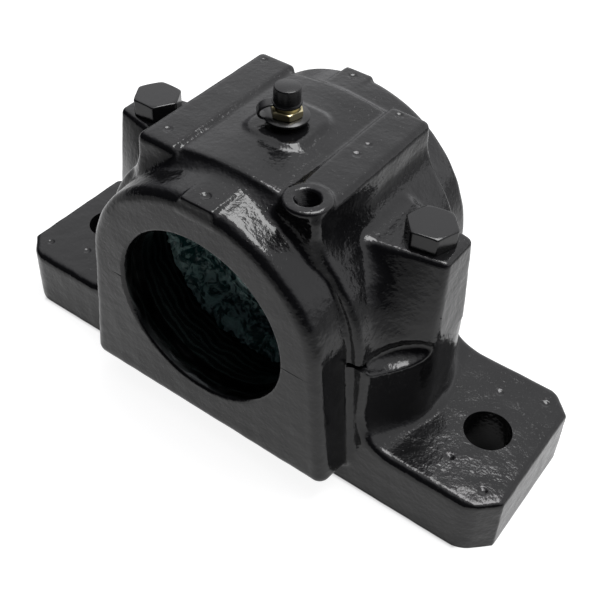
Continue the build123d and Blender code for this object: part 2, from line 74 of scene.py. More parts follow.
turn = Matrix((right, up, -look)).transposed()
camera.matrix_world = Matrix.Translation(aim - look * distance) @ turn.to_4x4()


# Studio: a sheet of white paper, a ceiling that darkens to the front and left, and one soft lamp overhead.
# The black paint shows little colour of its own, so these reflections draw its shape.
def node_tree(owner):
    owner.use_nodes = True
    owner.node_tree.nodes.clear()
    return owner.node_tree.nodes, owner.node_tree.links


world = bpy.data.worlds.new("studio")
bpy.context.scene.world = world
nodes, links = node_tree(world)
direction = nodes.new("ShaderNodeTexCoord")
split = nodes.new("ShaderNodeSeparateXYZ")
links.new(direction.outputs["Generated"], split.inputs[0])
height = nodes.new("ShaderNodeValToRGB")
height.color_ramp.elements[0].position = 0.56
height.color_ramp.elements[0].color = (0.015, 0.015, 0.02, 1)
height.color_ramp.elements[1].position = 0.86
height.color_ramp.elements[1].color = (1.0, 1.0, 1.02, 1)
middle = height.color_ramp.elements.new(0.72)
middle.color = (0.30, 0.30, 0.32, 1)
# The front left is darker than the back, so the ramp reads height plus a little of the depth.
lean = nodes.new("ShaderNodeVectorMath")
lean.operation = "DOT_PRODUCT"
lean.inputs[1].default_value = (0.10, 0.45, 0.45)
shift = nodes.new("ShaderNodeMath")
shift.operation = "ADD"
shift.inputs[1].default_value = 0.5
links.new(direction.outputs["Generated"], lean.inputs[0])
links.new(lean.outputs["Value"], shift.inputs[0])
links.new(shift.outputs[0], height.inputs[0])
light = nodes.new("ShaderNodeBackground")
links.new(height.outputs[0], light.inputs["Color"])
light.inputs["Strength"].default_value = 1.0
white = nodes.new("ShaderNodeBackground")
white.inputs["Color"].default_value = (1, 1, 1, 1)
rays = nodes.new("ShaderNodeLightPath")
mix = nodes.new("ShaderNodeMixShader")
links.new(rays.outputs["Is Camera Ray"], mix.inputs[0])
links.new(light.outputs[0], mix.inputs[1])
links.new(white.outputs[0], mix.inputs[2])
out = nodes.new("ShaderNodeOutputWorld")
links.new(mix.outputs[0], out.inputs[0])


lamp = bpy.data.lights.new("overhead", "AREA")
lamp.shape = "RECTANGLE"
lamp.size, lamp.size_y = 0.9, 0.50
lamp.energy = 12.5
holder = bpy.data.objects.new("overhead", lamp)
bpy.context.scene.collection.objects.link(holder)
lamp_place, lamp_target = Vector((0.15, 0.30, 1.27)), Vector((0, 0, 0.1))
holder.location = lamp_place
holder.rotation_euler = (lamp_target - lamp_place).to_track_quat("-Z", "Y").to_euler()
holder.visible_camera = False

floor_side = 6.0
floor = bpy.data.objects.new("floor", bpy.data.meshes.new("floor"))
half = floor_side / 2
corners = [(-half, -half, 0), (half, -half, 0), (half, half, 0), (-half, half, 0)]
floor.data.from_pydata(corners, [], [(0, 1, 2, 3)])
bpy.context.scene.collection.objects.link(floor)
paper = bpy.data.materials.new("white_paper")
nodes, links = node_tree(paper)
diffuse = nodes.new("ShaderNodeBsdfDiffuse")
diffuse.inputs["Color"].default_value = (0.30, 0.30, 0.30, 1)
glow = nodes.new("ShaderNodeEmission")
glow.inputs["Color"].default_value = (1, 1, 1, 1)
place = nodes.new("ShaderNodeTexCoord")
axes = nodes.new("ShaderNodeSeparateXYZ")
links.new(place.outputs["Object"], axes.inputs[0])


def calculate(operation, first, second):
    """A math node on two values, each a socket or a number."""
    step = nodes.new("ShaderNodeMath")
    step.operation = operation
    for socket, value in zip(step.inputs, (first, second)):
        if isinstance(value, float):
            socket.default_value = value
        else:
            links.new(value, socket)
    return step.outputs[0]


def fade(value, low, high, at_low, at_high):
    """A value that runs from at_low to at_high as the first one goes from low to high."""
    remap = nodes.new("ShaderNodeMapRange")
    remap.interpolation_type = "SMOOTHSTEP"
    for socket, number in zip(("From Min", "From Max", "To Min", "To Max"), (low, high, at_low, at_high)):
        remap.inputs[socket].default_value = number
    links.new(value, remap.inputs["Value"])
    return remap.outputs["Result"]


# Under the housing, up to a few millimetres inside the feet and their cut corners, the paper's glow is cut off: a
# painted shadow.
# Further away the paint mirrors it darker, as if the sheet were small.
shade_x, shade_y, shade_corner = 0.124, 0.036, -0.009
across = calculate("SUBTRACT", calculate("ABSOLUTE", axes.outputs[0], 0.0), shade_x)
along = calculate("SUBTRACT", calculate("ABSOLUTE", axes.outputs[1], 0.0), shade_y)
corner = calculate("SUBTRACT", calculate("ADD", across, along), shade_corner)
open_floor = fade(calculate("MAXIMUM", calculate("MAXIMUM", across, along), corner), 0.0, 0.004, 0.0, 1.0)
away = nodes.new("ShaderNodeVectorMath")
away.operation = "LENGTH"
links.new(place.outputs["Object"], away.inputs[0])
near, far, glow_near, glow_far, glow_seen = 0.19, 0.40, 0.50, 0.04, 0.90
mirrored = fade(away.outputs["Value"], near, far, glow_near, glow_far)
rays = nodes.new("ShaderNodeLightPath")
seen = calculate("MULTIPLY", rays.outputs["Is Camera Ray"], glow_seen)
level = calculate("MAXIMUM", seen, mirrored)
links.new(calculate("MULTIPLY", level, open_floor), glow.inputs["Strength"])
both = nodes.new("ShaderNodeAddShader")
links.new(diffuse.outputs[0], both.inputs[0])
links.new(glow.outputs[0], both.inputs[1])
out = nodes.new("ShaderNodeOutputMaterial")
links.new(both.outputs[0], out.inputs[0])
floor.data.materials.append(paper)
bpy.context.scene.view_settings.view_transform = "Standard"


# housing_base and housing_cap: two iron castings, blasted and dipped in black gloss paint after machining.
# Each skin is a distance field of plain forms joined with round fillets, as a pattern maker builds them.
# The joint, the bores, the holes and the drill marks are then cut into the skin.
# The fields take x, y and z as arrays, in metres, and give the distance to the surface, negative inside.
MM = 0.001
shaft_z = frame["joints"][1]["pos_m"][2]
foot_long, face_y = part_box("housing_base")[1][:2]
foot_half, foot_top, foot_corner = 38.0 * MM, 28.0 * MM, 10 * MM
wall_draft = math.tan(math.radians(0.8))
body_x, body_y = 65.5 * MM, 37.0 * MM
flare_r = 17.0 * MM
recess_x, recess_y, recess_depth, recess_draft = 72.0 * MM, 27.0 * MM, 11.0 * MM, 0.09
column_x, column_top = 80.5 * MM, 110.0 * MM
slant_x, slant_y, slant_reach = 0.851, 0.526, 74.7 * MM
scoop_x, scoop_y = 74.3 * MM, 24.9 * MM
neck_r, neck_low, neck_spread, neck_taper = 56.5 * MM, 12.0 * MM, 0.103, 0.08
arch_z, arch_r, arch_top = 66.4 * MM, 64.1 * MM, 124 * MM
rail_in, rail_out, rail_top, rail_y, rail_lean = 23.4 * MM, 41.3 * MM, 130.0 * MM, 38.2 * MM, 0.06
crown_top, crown_r, saddle_y, saddle_slope, saddle_low = 131.0 * MM, 110.0 * MM, 33.4 * MM, 0.85, 116 * MM
pad_top, pad_high, pad_in, pad_out = 127.2 * MM, 3.5 * MM, 36 * MM, 54.4 * MM
port = Vector((32.4, -31.2, 131.4)) * MM
boss_r, boss_half_high = 9.3 * MM, 1.4 * MM
seat_half_x, seat_half_y, seat_corner = 12 * MM, 13 * MM, 6 * MM
sand_reach, sand_depth = 9 * MM, 0.06 * MM
spare = 1.5 * MM    # left past the joint and the underside, to be machined off


def fillet_union(a, b, r):
    """Both shapes with a concave fillet: where both are nearer than r, the surface lies r away
    from the point at distance r from each, so d = r - length(r - a, r - b)."""
    return np.maximum(r, np.minimum(a, b)) - np.hypot(np.maximum(r - a, 0), np.maximum(r - b, 0))


def round_common(a, b, r):
    """What two shapes share, with the edge between them rounded: d = length(r + a, r + b) - r."""
    return np.minimum(-r, np.maximum(a, b)) + np.hypot(np.maximum(r + a, 0), np.maximum(r + b, 0))


def neck_field(x, y, z):
    """The neck round each opening: a circle above the joint, straight spreading sides below it."""
    drop = shaft_z - z
    sides = round_common(np.abs(x) - neck_r - drop * neck_spread, neck_low - z, 5 * MM)
    outline = np.where(drop > 0, sides, np.hypot(x, drop) - neck_r) - (face_y - np.abs(y)) * neck_taper
    return round_common(outline, np.abs(y) - face_y, 4.5 * MM)


def scoop_field(x, y, z):
    """A dish for the prising lever across each corner of the joint: an ellipsoid whose long axis
    follows the slanting wall. d is about (k - 1) times the local radius, with k the scaled length."""
    along = (np.abs(x) - scoop_x) * slant_y + (np.abs(y) - scoop_y) * -slant_x
    out = (np.abs(x) - scoop_x) * slant_x + (np.abs(y) - scoop_y) * slant_y
    rise = z - shaft_z
    halves = ((along, 15.0 * MM), (out, 8.0 * MM), (rise, 6.2 * MM))
    k = np.sqrt(sum((run / half) ** 2 for run, half in halves))
    slope = np.sqrt(sum((run / half ** 2) ** 2 for run, half in halves))
    return k * (k - 1) / (slope + 1e-9)


def sand_field(x, y, z, reach, depth, seed):
    """The sand mould's unevenness: a sum of sine waves in random directions, reach apart."""
    rng = np.random.default_rng(seed)
    total = np.zeros_like(x)
    waves = 14
    for _ in range(waves):
        heading = rng.normal(size=3)
        heading *= 2 * math.pi / (np.linalg.norm(heading) * reach * rng.uniform(0.7, 1.5))
        total += np.sin(x * heading[0] + y * heading[1] + z * heading[2] + rng.uniform(0, 6.3))
    return total * depth / math.sqrt(waves)


def base_field(x, y, z):
    """The base: feet, flared middle body and bolt columns between drafted walls, and both necks."""
    ax, ay = np.abs(x), np.abs(y)
    taper = z * wall_draft
    wall = ay - foot_half + taper
    cut_off = (ax + ay - foot_long - foot_half + foot_corner + taper) * 0.7071
    foot = np.maximum(ax - foot_long + taper, cut_off)
    low = fillet_union(ax - body_x, z - foot_top, flare_r)
    low = round_common(low, foot, 2.2 * MM)
    slant = slant_x * ax + slant_y * ay - slant_reach
    column = round_common(ax - column_x, slant, 3 * MM)
    low = fillet_union(low, column, 5 * MM)
    low = round_common(low, wall, 3.4 * MM)
    whole = fillet_union(low, neck_field(x, y, z), 3 * MM)
    whole = round_common(whole, -scoop_field(x, y, z), 0.6 * MM)
    recess = round_common(ax - recess_x + z * recess_draft, ay - recess_y + z * recess_draft, 8 * MM)
    recess = round_common(recess, z - recess_depth, 2 * MM)
    whole = round_common(whole, -recess, 1.5 * MM)
    whole = whole + sand_field(x, y, z, sand_reach, sand_depth, seed=5)
    return np.maximum(whole, np.maximum(-spare - z, z - shaft_z - spare))


def cap_field(x, y, z):
    """The cap: arched middle body, bolt columns, saddle between two rails, boss, pads and both necks."""
    ax, ay = np.abs(x), np.abs(y)
    arch = np.maximum(np.hypot(x, z - arch_z) - arch_r, z - arch_top)
    body = round_common(arch, ay - body_y, 3 * MM)

    # The columns grow narrower, and their slanting sides steeper, from the joint up to the bolt heads.
    lift = (z - shaft_z) / (column_top - shaft_z)
    spread = 0.806 - 0.616 * lift
    side = (ay - (26.6 - 14.1 * lift) * MM + spread * (ax - 62.7 * MM)) / np.sqrt(1 + spread ** 2)
    column = round_common(ax - column_x + 1.5 * MM * lift, side, 2.5 * MM)
    column = round_common(column, z - column_top, 1.8 * MM)
    column = round_common(column, ay - body_y + 1 * MM, 2.5 * MM)
    body = fillet_union(body, column, np.interp(z, np.array([98, 108]) * MM, np.array([7, 3]) * MM))

    draft = (rail_top - z) * rail_lean
    block = round_common(ax - rail_out - draft, ay - rail_y, 3 * MM)
    rail = round_common(block, z - rail_top, 3.0 * MM)
    rail = round_common(rail, rail_in - ax, 2.0 * MM)
    crown = crown_top - x ** 2 / (2 * crown_r)
    end_slope = (ay - saddle_y - saddle_slope * (crown - z)) / math.hypot(1, saddle_slope)
    saddle = round_common(z - crown, end_slope, 0.7 * MM)
    saddle = np.maximum(saddle, np.maximum(ax - rail_in - 2 * MM, saddle_low - z))
    top = fillet_union(saddle, rail, 1.5 * MM)
    body = fillet_union(body, top, 5 * MM)

    # The fillet to the necks is widest beside the rails and runs out to a sharp tip below them.
    crease = np.interp(ax, np.array([17, 23, 38, 45]) * MM, np.array([2.5, 4.0, 4.0, 1.5]) * MM)
    whole = fillet_union(body, neck_field(x, y, z), crease)
    pad_x = np.where(y < 0, np.abs(x - 1.4 * MM) - 7.5 * MM, np.abs(x + 2.6 * MM) - 6.5 * MM)
    pad_y = np.maximum(pad_in - ay, ay - pad_out)
    pad = round_common(pad_x - (pad_top - z) * 0.35, pad_y - (pad_top - z) * 0.1, 1.2 * MM)
    pad = round_common(pad, np.abs(z - pad_top + pad_high) - pad_high, 0.8 * MM)
    whole = fillet_union(whole, pad, 0.8 * MM)
    boss = np.hypot(x - port.x, y - port.y) - boss_r
    boss = round_common(boss, np.abs(z - port.z + boss_half_high) - boss_half_high, 1.0 * MM)
    whole = fillet_union(whole, boss, 1.0 * MM)

    # The nipple's seat is a square with round corners whose sides spread as they go down.
    seat_x, seat_y = np.abs(x) - seat_half_x, np.abs(y - 1 * MM) - seat_half_y
    seat_side = np.hypot(np.maximum(seat_x + seat_corner, 0), np.maximum(seat_y + seat_corner, 0)) - seat_corner
    seat = round_common(seat_side - (132 * MM - z) * 0.8, np.abs(z - 127 * MM) - 5 * MM, 0.8 * MM)
    whole = fillet_union(whole, seat, 2.0 * MM)
    whole = round_common(whole, -scoop_field(x, y, z), 0.6 * MM)
    whole = whole + sand_field(x, y, z, sand_reach, sand_depth, seed=6)
    return np.maximum(whole, shaft_z - spare - z)


def add_piece(name, mesh):
    """Puts a mesh into the scene as an object of its own."""
    piece = bpy.data.objects.new(name, mesh)
    bpy.context.scene.collection.objects.link(piece)
    return piece


def skin(name, field, low, high, pitch):
    """The surface where the field is zero, by surface nets: each grid cell that it passes through gets
    a point at the mean of the crossings on its edges, and each grid edge that it crosses gets a
    four-sided face. The points are then moved onto the surface along the field's slope."""
    axes = [np.arange(low[i], high[i] + pitch, pitch) for i in range(3)]
    grid = np.stack(np.meshgrid(*axes, indexing="ij"))
    value = field(*grid)
    inside = value < 0
    shape = np.array(value.shape)
    cells = shape - 1
    total = int(np.prod(cells))
    place = np.zeros((3, total))
    count = np.zeros(total)
    quads = []
    for axis in range(3):
        near = [slice(None)] * 3
        far = [slice(None)] * 3
        near[axis], far[axis] = slice(0, -1), slice(1, None)
        near, far = tuple(near), tuple(far)
        crossing = inside[near] != inside[far]
        index = np.array(np.nonzero(crossing))
        a, b = value[near][crossing], value[far][crossing]
        step = np.zeros((3, index.shape[1]))
        step[axis] = a / (a - b)
        point = np.array(low)[:, None] + (index + step) * pitch
        u, v = (axis + 1) % 3, (axis + 2) % 3
        corner = []
        for du, dv in ((0, 0), (1, 0), (1, 1), (0, 1)):
            cell = index.copy()
            cell[u] -= du
            cell[v] -= dv
            corner.append((cell[0] * cells[1] + cell[1]) * cells[2] + cell[2])
        for c in corner:
            count += np.bincount(c, minlength=total)
            for i in range(3):
                place[i] += np.bincount(c, weights=point[i], minlength=total)
        quad = np.array(corner).T
        leaving = inside[near][crossing]
        quad[~leaving] = quad[~leaving][:, ::-1]
        quads.append(quad)
    used = count > 0
    points = place[:, used] / count[used]
    renumber = np.cumsum(used) - 1
    faces = renumber[np.concatenate(quads)]
    probe = pitch * 0.25
    for _ in range(3):
        here = field(*points)
        slope = np.array([field(*(points + probe * way[:, None])) - field(*(points - probe * way[:, None]))
                          for way in np.eye(3)]) / (2 * probe)
        points -= np.clip(here / (np.sum(slope ** 2, axis=0) + 1e-6), -pitch / 2, pitch / 2) * slope
    mesh = bpy.data.meshes.new(name)
    mesh.vertices.add(points.shape[1])
    mesh.vertices.foreach_set("co", points.T.ravel().astype(np.float32))
    mesh.loops.add(faces.size)
    mesh.loops.foreach_set("vertex_index", faces.ravel().astype(np.int32))
    mesh.polygons.add(len(faces))
    mesh.polygons.foreach_set("loop_start", np.arange(0, faces.size, 4, dtype=np.int32))
    mesh.update(calc_edges=True)
    return add_piece(name, mesh)


def lathe(profile, segments, axis, centre):
    """A closed solid of revolution: profile points (distance along the axis, radius) turned about the
    axis through centre, with a flat end at each end of the profile."""
    profile = np.array(profile)
    angle = np.linspace(0, 2 * math.pi, segments, endpoint=False)
    ring = np.stack([np.cos(angle), np.sin(angle)])
    along = np.repeat(profile[:, 0], segments)
    across = (profile[:, 1][:, None, None] * ring[None]).transpose(0, 2, 1).reshape(-1, 2)
    order = {"Y": (1, 0, 2), "Z": (2, 0, 1)}[axis]
    points = np.zeros((len(along), 3))
    points[:, order[0]] = along
    points[:, order[1]] = across[:, 0]
    points[:, order[2]] = across[:, 1]
    points += np.array(centre)
    i = np.arange(len(profile) - 1)[:, None] * segments
    j = np.arange(segments)[None]
    k = (j + 1) % segments
    quads = np.stack([i + j, i + k, i + segments + k, i + segments + j], axis=-1).reshape(-1, 4)
    faces = quads.tolist()
    faces += [list(range(segments))[::-1], list(range(len(along) - segments, len(along)))]
    mesh = bpy.data.meshes.new("cutter")
    mesh.from_pydata(points.tolist(), [], faces)
    tool = bmesh.new()
    tool.from_mesh(mesh)
    bmesh.ops.recalc_face_normals(tool, faces=tool.faces)
    tool.to_mesh(mesh)
    tool.free()
    return mesh


def block(low, high):
    """A rectangular cutter between two corners."""
    mesh = bpy.data.meshes.new("cutter")
    tool = bmesh.new()
    bmesh.ops.create_cube(tool, size=1)
    for corner in tool.verts:
        corner.co = [low[i] if corner.co[i] < 0 else high[i] for i in range(3)]
    tool.to_mesh(mesh)
    tool.free()
    return mesh


def cut(piece, cutter):
    """Takes the cutter's volume away from the piece."""
    tool = add_piece("cutter", cutter)
    removal = piece.modifiers.new("cut", "BOOLEAN")
    removal.operation = "DIFFERENCE"
    removal.solver = "MANIFOLD"
    removal.object = tool
    mesh = bpy.data.meshes.new_from_object(piece.evaluated_get(bpy.context.evaluated_depsgraph_get()))
    piece.modifiers.clear()
    piece.data = mesh
    bpy.data.objects.remove(tool)


def hole(x, y, low, high, radius, segments=96):
    """A round upright cutter."""
    return lathe([(low, radius), (high, radius)], segments, "Z", (x, y, 0))


def drill_mark(x, y, z):
    """A shallow round dimple, a cap of a sphere sunk 0.45 mm into the face."""
    radius, sunk = 4.0 * MM, 0.45 * MM
    turn = np.linspace(-0.499 * math.pi, 0.499 * math.pi, 25)
    profile = [(z + radius - sunk + radius * math.sin(t), radius * math.cos(t)) for t in turn]
    return lathe(profile, 40, "Z", (x, y, 0))


pitch, room = 0.95 * MM, 2 * MM
base = skin("housing_base_cast", base_field, (-foot_long - room, -face_y - room, -3 * MM),
            (foot_long + room, face_y + room, shaft_z + 3 * MM), pitch)
cap = skin("housing_cap_cast", cap_field, (-column_x - room, -face_y - room, shaft_z - 3 * MM),
           (column_x + room, face_y + room, 134 * MM), pitch)
wide = 0.2    # past every face of the housing, for cuts that go right through
cut(base, block((-wide, -wide, -wide), (wide, wide, 0)))
cut(base, block((-wide, -wide, shaft_z), (wide, wide, wide)))
cut(cap, block((-wide, -wide, -wide), (wide, wide, shaft_z)))

# The bore, from the bearing's seat out to both mouths: grease chamber, seal groove and bevelled edge.
mouth_r, mouth_edge, groove_r, chamber_r, seat_r = 39 * MM, 1.2 * MM, 43.5 * MM, 46 * MM, 50.05 * MM
groove_in, groove_out, chamber_out, seat_out = 44 * MM, 49.5 * MM, 38 * MM, 20 * MM
half_bore = [(seat_out, seat_r), (seat_out, chamber_r), (chamber_out, chamber_r), (chamber_out, mouth_r),
             (groove_in, mouth_r), (groove_in, groove_r), (groove_out, groove_r), (groove_out, mouth_r),
             (face_y - mouth_edge, mouth_r), (face_y + mouth_edge, mouth_r + 2 * mouth_edge)]
bore = [(-y, r) for y, r in reversed(half_bore)] + half_bore
for casting in (base, cap):
    cut(casting, lathe(bore, 256, "Y", (0, 0, shaft_z)))

# Foot holes, bolt holes, the slits of the prising scoops, and marks where dowels may be drilled.
foot_hole_x, foot_hole_r = 105 * MM, 10 * MM
bolt_x, bolt_deep, tapped_r, clear_r = 66 * MM, 43 * MM, 6.1 * MM, 6.75 * MM
slit_x, slit_y, slit_half_x, slit_half_y, slit_low = 64 * MM, 36 * MM, 6.5 * MM, 2.5 * MM, 68.2 * MM
for side in (-1, 1):
    cut(base, hole(side * foot_hole_x, 0, -wide, wide, foot_hole_r))
    cut(base, hole(side * bolt_x, 0, bolt_deep, wide, tapped_r))
    cut(cap, hole(side * bolt_x, 0, 0, wide, clear_r))
    for end in (-1, 1):
        cut(base, block((side * slit_x - slit_half_x, end * slit_y - slit_half_y, slit_low),
                        (side * slit_x + slit_half_x, end * slit_y + slit_half_y, wide)))
        cut(base, drill_mark(side * 99.3 * MM, end * 21.1 * MM, foot_top))
        cut(base, drill_mark(side * 117.5 * MM, end * 27.2 * MM, foot_top))

# Holes for the two dowels, the grease nipple and the tapped lubrication port, and the cap's own marks.
dowel_x, dowel_y = 56 * MM, 27 * MM
for side in (-1, 1):
    cut(base, hole(side * dowel_x, side * dowel_y, 62 * MM, wide, 3.0 * MM, 48))
    cut(cap, hole(side * dowel_x, side * dowel_y, 0, 79 * MM, 3.1 * MM, 48))
cut(cap, hole(0, 0, 110 * MM, wide, 4.5 * MM, 64))
cut(cap, hole(port.x, port.y, 89.5 * MM, port.z - 8 * MM, 3.0 * MM, 48))
thread = [(port.z - 12 * MM + step * 0.5 * MM, (4.6 + 0.45 * (step % 2)) * MM) for step in range(23)]
thread += [(port.z - 0.5 * MM, 5.0 * MM), (port.z + 0.5 * MM, 6.0 * MM)]
cut(cap, lathe(thread, 96, "Z", (port.x, port.y, 0)))
for x, y in ((-33, -29), (-35.5, 32.5), (29.5, 33.2), (30.8, 9.5), (30.8, 1.9)):
    cut(cap, drill_mark(x * MM, y * MM, rail_top))
for x, y in ((1.4, -48.6), (-2.5, 49.2)):
    cut(cap, drill_mark(x * MM, y * MM, pad_top))


# Paint on both castings: black and glossy. It is dipped, so it is thick, and puckers like orange peel
# wherever the casting under it is rough.
def shade(name, colour, roughness, metallic=0.0):
    """A principled material with its constants set on the shader. Gives what more detail is built on."""
    material = bpy.data.materials.new(name)
    nodes, links = node_tree(material)
    shader = nodes.new("ShaderNodeBsdfPrincipled")
    shader.inputs["Base Color"].default_value = (*colour, 1)
    shader.inputs["Roughness"].default_value = roughness
    shader.inputs["Metallic"].default_value = metallic
    out = nodes.new("ShaderNodeOutputMaterial")
    links.new(shader.outputs[0], out.inputs[0])
    return material, nodes, links, shader


def grain(nodes, links, scale, detail=2.0, distortion=0.0):
    """Noise over the object's own coordinates, scale being about one over the size of a lump in metres."""
    place = nodes.new("ShaderNodeTexCoord")
    noise = nodes.new("ShaderNodeTexNoise")
    noise.inputs["Scale"].default_value = scale
    noise.inputs["Detail"].default_value = detail
    noise.inputs["Distortion"].default_value = distortion
    links.new(place.outputs["Object"], noise.inputs["Vector"])
    return noise.outputs["Fac"]


def bumps(nodes, links, shader, *layers):
    """Bumps on a shader, one layer over the other: (height source, full height in metres)."""
    last = None
    for source, depth in layers:
        bump = nodes.new("ShaderNodeBump")
        bump.inputs["Strength"].default_value = 1.0
        bump.inputs["Distance"].default_value = depth
        links.new(source, bump.inputs["Height"])
        if last:
            links.new(last.outputs[0], bump.inputs["Normal"])
        last = bump
    links.new(last.outputs[0], shader.inputs["Normal"])


def spread(nodes, links, source, low, high, at_low, at_high):
    """Maps a value between low and high onto another range."""
    remap = nodes.new("ShaderNodeMapRange")
    for socket, value in zip(("From Min", "From Max", "To Min", "To Max"), (low, high, at_low, at_high)):
        remap.inputs[socket].default_value = value
    links.new(source, remap.inputs["Value"])
    return remap.outputs["Result"]


def two_tones(nodes, links, source, low, high, first, second):
    """A colour that runs from first to second as the source goes from low to high."""
    tones = nodes.new("ShaderNodeValToRGB")
    tones.color_ramp.elements[0].position = low
    tones.color_ramp.elements[0].color = (*first, 1)
    tones.color_ramp.elements[1].position = high
    tones.color_ramp.elements[1].color = (*second, 1)
    links.new(source, tones.inputs["Fac"])
    return tones.outputs["Color"]


paint, nodes, links, shader = shade("black_paint", (0.005, 0.005, 0.0055), 0.2)
shader.inputs["IOR"].default_value = 1.47
pits = grain(nodes, links, 900, 1.0)
peel = grain(nodes, links, 480, 2.0)
bumps(nodes, links, shader, (peel, 0.00018), (spread(nodes, links, pits, 0.68, 0.78, 0, 1), 0.00005))
dull = grain(nodes, links, 120, 3.0)
links.new(spread(nodes, links, dull, 0.3, 0.7, 0.13, 0.2), shader.inputs["Roughness"])

# Machined iron under a dark film of oil: the bores and the joint faces, with the tool's rings, whose lighter bands
# are painted reflections.
bored, nodes, links, shader = shade("machined_iron", (0.025, 0.030, 0.028), 0.25, 0.9)
place = nodes.new("ShaderNodeTexCoord")
rings = nodes.new("ShaderNodeTexWave")
rings.bands_direction = "Y"
rings.inputs["Scale"].default_value = 90
rings.inputs["Distortion"].default_value = 6.0
links.new(place.outputs["Object"], rings.inputs["Vector"])
# The lighter tone of each ring is a painted reflection; the darker tone is the oily iron.
oily, ring_sheen = (0.010, 0.012, 0.012), (0.05, 0.055, 0.055)
links.new(two_tones(nodes, links, rings.outputs["Fac"], 0.5, 1.0, oily, ring_sheen), shader.inputs["Base Color"])
bumps(nodes, links, shader, (rings.outputs["Fac"], 0.00002), (grain(nodes, links, 160, 3.0), 0.0001))


def finish_mesh(piece, material, sharp_degrees):
    """One material on smooth faces, with the edges sharper than an angle kept sharp."""
    piece.data.materials.clear()
    piece.data.materials.append(material)
    piece.data.polygons.foreach_set("use_smooth", np.ones(len(piece.data.polygons), bool))
    piece.data.set_sharp_from_angle(angle=math.radians(sharp_degrees))


for casting, name, body in ((base, "housing_base", "base"), (cap, "housing_cap", "cap")):
    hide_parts(name)
    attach(casting, body)
    finish_mesh(casting, paint, 55)
    casting.data.materials.append(bored)
    count = len(casting.data.polygons)
    middle = np.zeros(3 * count)
    facing = np.zeros(3 * count)
    casting.data.polygons.foreach_get("center", middle)
    casting.data.polygons.foreach_get("normal", facing)
    x, y, z = middle.reshape(-1, 3).T
    inside = (np.hypot(x, z - shaft_z) < 50.3 * MM) & (np.abs(y) < face_y - 1.25 * MM)
    joint = (np.abs(z - shaft_z) < 0.01 * MM) & (np.abs(facing[2::3]) > 0.99)
    casting.data.polygons.foreach_set("material_index", (inside | joint).astype(np.int32))


# cap_bolt_left and cap_bolt_right: hexagon bolts M12, painted black over the head with the housing.
# The paint softens the hexagon's edges. The shank is plain, with a rolled thread at its end.
head_half, head_high, head_flat_r = 9 * MM, 7.5 * MM, 9.6 * MM


def hexagon_field(x, y, half, first_turn, edge):
    """An upright hexagonal bar: what three slabs of one width share, 60 degrees apart."""
    flats = [np.abs(x * math.cos(turn) + y * math.sin(turn)) - half
             for turn in (first_turn, first_turn + math.pi / 3, first_turn + 2 * math.pi / 3)]
    return round_common(round_common(flats[0], flats[1], edge), flats[2], edge)


def bolt_head_field(x, y, z):
    """A hexagon whose top is chamfered at 30 degrees, from a flat circle outwards."""
    hexagon = hexagon_field(x, y, head_half, 0, 0.7 * MM)
    chamfer = (z - head_high) * 0.866 + (np.hypot(x, y) - head_flat_r) * 0.5
    top = round_common(z - head_high, chamfer, 0.6 * MM)
    return round_common(round_common(hexagon, top, 0.5 * MM), -z, 0.2 * MM)


def tube_faces(rows, around):
    """Faces of a tube whose points come in rings, ring after ring, and the two lids that close it."""
    i = np.arange(rows - 1)[:, None] * around
    j = np.arange(around)[None]
    k = (j + 1) % around
    faces = np.stack([i + j, i + k, i + around + k, i + around + j], -1).reshape(-1, 4).tolist()
    last = (rows - 1) * around
    return faces + [list(range(around))[::-1], list(range(last, last + around))]


def bolt_shank():
    """A closed screw surface: r = 6 - h * tooth(z / pitch - angle / 2 pi), with h grown in along z.
    The tip is chamfered by a millimetre."""
    pitch, low, high, around, rings = 1.75 * MM, -65 * MM, 0.5 * MM, 32, 138
    threaded = 30 * MM
    z = np.concatenate([np.linspace(low, low + threaded, rings), [high]])[:, None]
    turn = np.linspace(0, 2 * math.pi, around, endpoint=False)[None]
    tooth = 2 * np.abs((z / pitch - turn / (2 * math.pi)) % 1 - 0.5)
    depth = 1.0 * MM * np.clip((low + threaded - MM - z) / (2 * MM), 0, 1)
    radius = 6.0 * MM - depth * tooth - np.clip(1 - (z - low) / MM, 0, 1) * 0.6 * MM
    points = np.stack([radius * np.cos(turn), radius * np.sin(turn), z + 0 * turn], -1).reshape(-1, 3)
    return points, tube_faces(len(z), around)


black_bolt, nodes, links, shader = shade("bolt_black", (0.006, 0.006, 0.0065), 0.2)
bumps(nodes, links, shader, (grain(nodes, links, 500, 2.0), 0.00004))
for side, name, degrees in ((-1, "cap_bolt_left", 30), (1, "cap_bolt_right", 41)):
    head = skin(name + "_head", bolt_head_field, (-11 * MM, -11 * MM, -MM), (11 * MM, 11 * MM, 8.5 * MM), 0.33 * MM)
    points, faces = bolt_shank()
    mesh = bpy.data.meshes.new(name + "_shank")
    mesh.from_pydata(points.tolist(), [], faces)
    shank = add_piece(name + "_shank", mesh)
    seated = Matrix.Translation((side * bolt_x, 0, column_top)) @ Matrix.Rotation(math.radians(degrees), 4, "Z")
    for piece in (head, shank):
        piece.data.transform(seated)
        finish_mesh(piece, black_bolt, 40)
        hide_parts(name)
        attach(piece, "cap")


# nipple_body: a turned brass grease nipple, dull with age. Its taper thread jams before the hexagon
# reaches the cap, so the hexagon stands over the pad. The steel ball and spring of its valve lie in
# the chamber bored in the stem, under the tip.
hex_low, hex_high, hex_half, hex_turn = 135.8 * MM, 138.9 * MM, 5.7 * MM, 0.79


def nipple_hex_field(x, y, z):
    """A hexagon between two heights, its upper and lower corners turned off at 30 degrees."""
    hexagon = hexagon_field(x, y, hex_half, hex_turn, 0.2 * MM)
    half_high = np.abs(z - (hex_low + hex_high) / 2) - (hex_high - hex_low) / 2
    corner = half_high * 0.866 + (np.hypot(x, y) - hex_half) * 0.5
    return round_common(hexagon, np.maximum(half_high, corner), 0.15 * MM)


